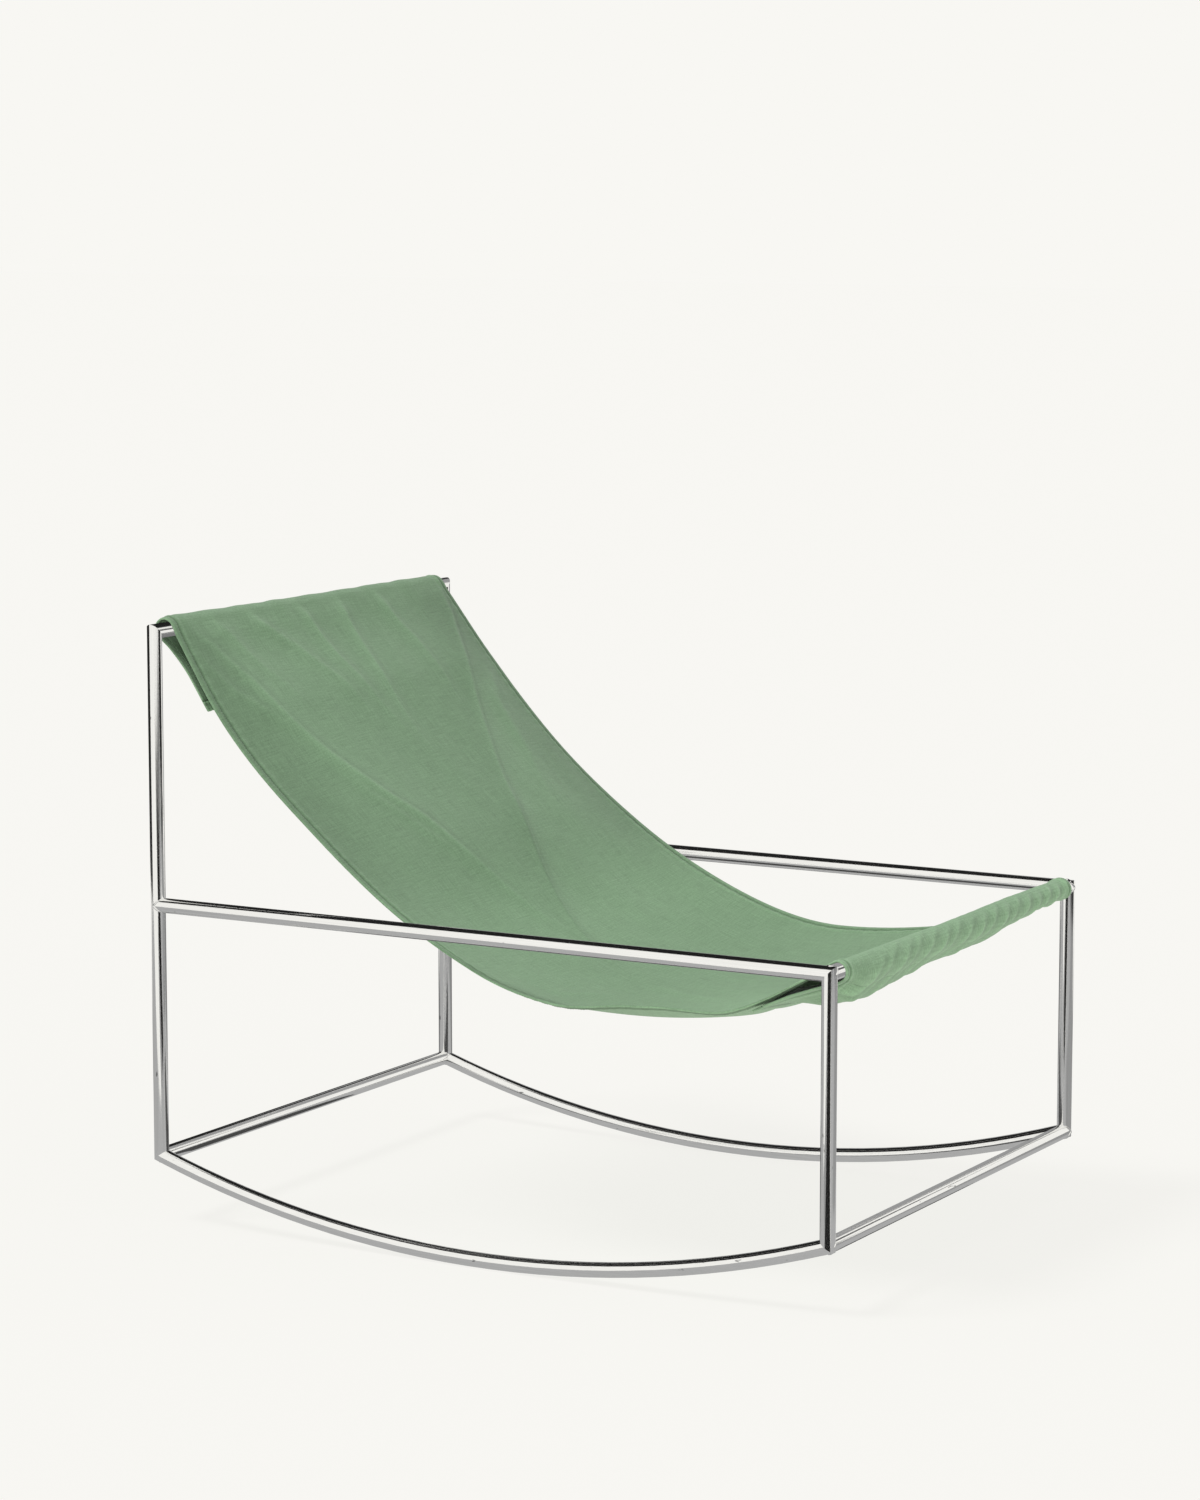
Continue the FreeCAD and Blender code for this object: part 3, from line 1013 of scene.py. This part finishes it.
for node, tube in frame["nodes"].items():
    if tube["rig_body"] == "frame":
        tube.data.materials.clear()
        tube.data.materials.append(tube_material(node))


def joint_curve(arms, angle):
    """How far from the joint's middle a bar's surface meets the arms it stands on, at an angle round it."""
    best = max(arms, key=lambda arm: math.cos(angle - arm))
    return tube_radius * abs(math.cos(angle - best))


def bead_line(corner, out, up, side, arms):
    """Points of the weld round a bar that leaves a corner along out. Arms are angles from side to up."""
    angles = np.linspace(0, 2 * math.pi, bead_turns, endpoint=False)
    reach = np.array([joint_curve(arms, angle) for angle in angles])
    for _ in range(bead_smoothing):
        reach = (np.roll(reach, 1) + 2 * reach + np.roll(reach, -1)) / 4
    ring = np.cos(angles)[:, None] * side + np.sin(angles)[:, None] * up
    return corner + tube_radius * ring + (reach[:, None] - bead_sink) * out


def weld_lines():
    across, back, up = np.eye(3)
    post_y = top_bar[0]
    rail_z = front_bar[1]
    corner_z = bar_of("lower_rear_crossbar")[0][1]
    lowest_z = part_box("left_rocker")[0].z + tube_radius
    rocker_tilt = 2 * math.atan((corner_z - lowest_z) / post_y)
    quarter = math.pi / 2
    lines = []
    for side in (-1, 1):
        x = side * side_x
        inward = -side * across
        rail_end = np.array([x, post_y, rail_z])
        front_corner = np.array([x, -post_y, rail_z])
        rear_foot = np.array([x, post_y, corner_z])
        front_foot = np.array([x, -post_y, corner_z])
        lines.append(bead_line(rail_end, -back, up, across, (quarter, -quarter)))
        lines.append(bead_line(front_corner, inward, up, back, (0.0, -quarter)))
        lines.append(bead_line(rear_foot, inward, up, back, (quarter, math.pi + rocker_tilt)))
        lines.append(bead_line(front_foot, inward, up, back, (quarter, -rocker_tilt)))
    return lines


def bead_mesh(name, lines):
    """Rippled rings of weld along closed lines."""
    ripple = bead_radius * (1 + bead_ripple * np.sin(np.arange(bead_turns) * math.pi / 2))
    points, faces = [], []
    for line in lines:
        ahead = unit(np.roll(line, -1, axis=0) - np.roll(line, 1, axis=0))
        away = unit(line - line.mean(axis=0))
        away = unit(away - (away * ahead).sum(1)[:, None] * ahead)
        other = np.cross(ahead, away)
        numbers = len(points) + np.arange(bead_sides * bead_turns).reshape(bead_sides, bead_turns)
        for turn in np.arange(bead_sides) * 2 * math.pi / bead_sides:
            points.extend(line + ripple[:, None] * (math.cos(turn) * away + math.sin(turn) * other))
        faces.extend(grid_faces(np.pad(numbers, ((0, 1), (0, 1)), "wrap")).tolist())
    return shown(name, mesh_of(name, points, faces))


beads = dressed(bead_mesh("weld_beads", weld_lines()), steel_weld, "steel")
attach(beads, "frame")

# Sling: the panel with both side hems, and the two flaps. A flap lies far from the other bar's folds.


def wrap_length(start, end):
    return wrap_radius * math.radians(end - start)


rear_wrap = wrap_length(rear_wrap_end, rear_leave_angle(0.0))
front_wrap = wrap_length(front_reach_angle(0.0), front_wrap_end)
panel_length = steps_along(panel_line(0.0)).sum()
front_start = panel_length - front_wrap
far = 9.0

panel = Cloth(panel_line, panel_folds, 1, 1, -rear_wrap, -front_start)
rear_flap = Cloth(rear_flap_line, rear_flap_folds, -1, -1, -rear_wrap, -far)
front_flap = Cloth(front_flap_line, front_flap_folds, 1, 1, far, front_wrap)

sling_piece = dressed(panel.mesh("sling_cloth"), canvas_green, "canvas")
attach(sling_piece, "sling")
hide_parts("sling_panel", "left_side_hem", "right_side_hem")

for label, sheet, line, bar in (("rear", rear_flap, rear_flap_line, "top_crossbar"),
                                ("front", front_flap, front_flap_line, "front_crossbar")):
    piece = dressed(sheet.mesh(label + "_flap_cloth", end_hem=True), canvas_green, "canvas")
    first, second = line(0.0)[:2]
    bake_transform(piece)
    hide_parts(label + "_flap", label + "_flap_hem")

# Hook tapes on the flaps and loop tapes on the panel's underside


def taped(piece, material, body, node):
    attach(dressed(piece, material, "tape"), body)
    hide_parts(node)


rear_loop = rear_wrap + rear_flap_bend + tape_start
front_loop = front_start - front_flap_bend - tape_end
for label, sheet, loop_start in (("rear", rear_flap, rear_loop), ("front", front_flap, front_loop)):
    bend = sheet.length - flap_hold
    hook = strip_mesh(label + "_hook_strip", sheet, bend + tape_start, bend + tape_end)
    loop = strip_mesh(label + "_loop_strip", panel, loop_start, loop_start + tape_end - tape_start)
    taped(hook, hook_pile, label + "_flap_body", label + "_hook_tape")
    taped(loop, loop_pile, "sling", label + "_loop_tape")

# Seams: along both hems of the panel on both its faces, and round each flap's hems and tape

seam_x = half_width - seam_inset
tape_seam_x = half_width - tape_inset - seam_margin
outside = cloth / 2 + contact
inside = -(cloth / 2 + 2 * fold_radius + contact)


def hem_seams(sheet, start, end):
    return [stitches(sheet, (x, start), (x, end), height)
            for x in (-seam_x, seam_x) for height in (outside, inside)]


def cross_seam(sheet, x, way, height):
    return stitches(sheet, (-x, way), (x, way), height)


panel_seams = stitch_mesh("panel_seams", hem_seams(panel, seam_margin, panel_length - seam_margin))
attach(dressed(panel_seams, thread_green, "canvas"), "sling")
for label, sheet in (("rear", rear_flap), ("front", front_flap)):
    bend = sheet.length - flap_hold
    lines = hem_seams(sheet, hinge_margin, sheet.length - hem_width - seam_margin)
    lines += [cross_seam(sheet, seam_x, sheet.length - seam_inset, height) for height in (outside, inside)]
    lines.append(cross_seam(sheet, tape_seam_x, bend + tape_start + seam_margin, outside))
    lines.append(cross_seam(sheet, tape_seam_x, bend + tape_end - seam_margin, outside))
    seams = stitch_mesh(label + "_flap_seams", lines)
    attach(dressed(seams, thread_green, "canvas"), label + "_flap_body")

# Floor and studio cards

floor_reach = 40.0
floor_card_height = 0.0010
floor_card_gap = 0.0002
wall_card_steps = 16

# Curved cards around the chair: name, two turns in degrees from the camera's side towards its left, distance,
# two heights, and grey
WALL_CARDS = (
    ("black_back_low", (80, 172), 3.2, (0.0, 1.6), 0.015),
    ("black_back_high", (80, 192), 3.2, (1.6, 12.0), 0.015),
    ("grey_back", (172, 226), 3.2, (0.0, 1.6), 0.33),
    ("grey_back_high", (192, 226), 3.2, (1.6, 3.0), 0.33),
    ("dark_right_high", (237, 264), 3.2, (1.1, 3.0), 0.10),
    ("black_high", (192, 264), 3.2, (3.0, 12.0), 0.015),
    ("black_right", (252, 305), 2.8, (0.0, 0.6), 0.015),
)

# Cards on the floor, each a little above the one before: name, corners as the camera sees them (to the right,
# towards the camera), and grey
FLOOR_CARDS = (
    ("near_floor", ((-1.0, -1.0), (1.0, -1.0), (1.0, 0.85), (-1.0, 0.85)), 0.42),
    ("left_floor", ((-3.0, -1.2), (-1.0, -1.2), (-1.0, 0.9), (-3.0, 0.9)), 0.40),
    ("back_floor", ((-1.2, -3.2), (1.6, -3.2), (1.6, -0.75), (-1.2, -0.75)), 0.20),
    ("right_floor", ((0.8, -0.9), (2.8, -0.9), (2.8, 0.85), (0.8, 0.85)), 0.30),
    ("right_front_floor", ((0.5, 0.85), (2.8, 0.85), (2.8, 2.4), (1.1, 2.4)), 0.42),
    ("right_far_floor", ((1.1, 2.4), (4.8, 2.4), (4.8, 4.8), (1.8, 4.8)), 0.15),
    ("left_front_floor", ((-0.45, 0.85), (0.0, 0.85), (-0.68, 2.4), (-0.9, 2.4)), 0.30),
    ("black_runner", ((0.0, 0.8), (0.45, 0.8), (1.8, 4.8), (-1.5, 4.8)), 0.008),
    # The chair's shadow on the floor as the steel mirrors it: a painted shadow on a dark card
    ("painted_shadow_under_chair", ((0.34, 0.42), (0.54, 0.06), (-0.33, -0.44), (-0.53, -0.07)), 0.06),
)


def staged(name, corners, faces, material):
    data = mesh_of(name, corners, faces)
    data.materials.append(material)
    piece = placed(name, data)
    return piece


def paper():
    """Backlit paper, which keeps only a pale shadow."""
    material, tree, shader = new_material("paper")
    feed(tree, shader, {"Base Color": (*scaled(PAPER, 1 - paper_glow), 1.0)})
    feed(tree, shader, {"Emission Color": (*PAPER, 1.0), "Emission Strength": paper_glow})
    feed(tree, shader, {"Roughness": 1.0, "Specular IOR Level": 0.0})
    return material


def card(name, corners, faces, level):
    """A studio card of one grey that only shows in the polished steel."""
    material, tree, shader = new_material(name)
    tree.nodes.remove(shader)
    glow = added(tree, "ShaderNodeEmission", {"Color": (*grey(level), 1.0)})
    feed(tree, tree.nodes["Material Output"], {"Surface": glow.outputs[0]})
    piece = staged(name, corners, faces, material)
    piece.visible_camera = False
    piece.visible_diffuse = False
    piece.visible_shadow = False
    piece.visible_transmission = False


camera_right = heading(camera_heading)
camera_side = heading(270 + camera_heading)

floor_corners = [(x * floor_reach, y * floor_reach, 0) for x, y in ((-1, -1), (1, -1), (1, 1), (-1, 1))]
staged("floor", floor_corners, [[0, 1, 2, 3]], paper())

for name, turns, distance, heights, level in WALL_CARDS:
    corners = []
    for turn in np.linspace(*turns, wall_card_steps + 1):
        place = distance * heading(270 + camera_heading - turn)
        corners += [(*place, height) for height in heights]
    faces = [[2 * k, 2 * k + 1, 2 * k + 3, 2 * k + 2] for k in range(wall_card_steps)]
    card(name, corners, faces, level)

for number, (name, spots, level) in enumerate(FLOOR_CARDS):
    height = floor_card_height + number * floor_card_gap
    corners = [(*(to_right * camera_right + nearer * camera_side), height) for to_right, nearer in spots]
    card(name, corners, [[0, 1, 2, 3]], level)

# Light and camera


def studio_world(light):
    """Paper white where a camera or the polished steel looks at it, and a softer white light on the cloth."""
    world = bpy.data.worlds.new("studio")
    bpy.context.scene.world = world
    world.use_nodes = True
    tree = world.node_tree
    path = tree.nodes.new("ShaderNodeLightPath")
    seen = path.outputs["Is Camera Ray"]
    for name in ("Is Glossy Ray", "Is Transmission Ray"):
        seen = math_node(tree, "MAXIMUM", seen, path.outputs[name])
    soft = tree.nodes["Background"]
    feed(tree, soft, {"Color": (*grey(1.0), 1.0), "Strength": light})
    plain = added(tree, "ShaderNodeBackground", {"Color": (*PAPER, 1.0)})
    either = added(tree, "ShaderNodeMixShader", {"Fac": seen, 1: soft.outputs[0], 2: plain.outputs[0]})
    feed(tree, tree.nodes["World Output"], {"Surface": either.outputs[0]})


def sun(name, towards, level, spread):
    """A wide soft light from one direction, which adds level to a floor of full brightness 1 and doesn't show
    in the steel."""
    lamp = bpy.data.lights.new(name, "SUN")
    direction = Vector(towards).normalized()
    lamp.energy = math.pi * level / direction.z
    lamp.angle = math.radians(spread)
    piece = placed(name, lamp)
    piece.rotation_mode = "QUATERNION"
    piece.rotation_quaternion = direction.to_track_quat("Z", "Y")
    piece.visible_glossy = False


studio_world(light=0.62)
sun("key_light", towards=(-0.40, 0.34, 0.85), level=0.35, spread=18)
sun("fill_light", towards=(-0.60, -0.78, 0.18), level=0.006, spread=40)

lens = bpy.data.cameras.new("camera")
lens.lens = camera_lens
viewer = placed("camera", lens)
viewer.location = camera_place
viewer.rotation_euler = (math.radians(90 - camera_tilt), 0, math.radians(camera_heading))
bpy.context.scene.camera = viewer
bpy.context.scene.view_settings.view_transform = "Standard"
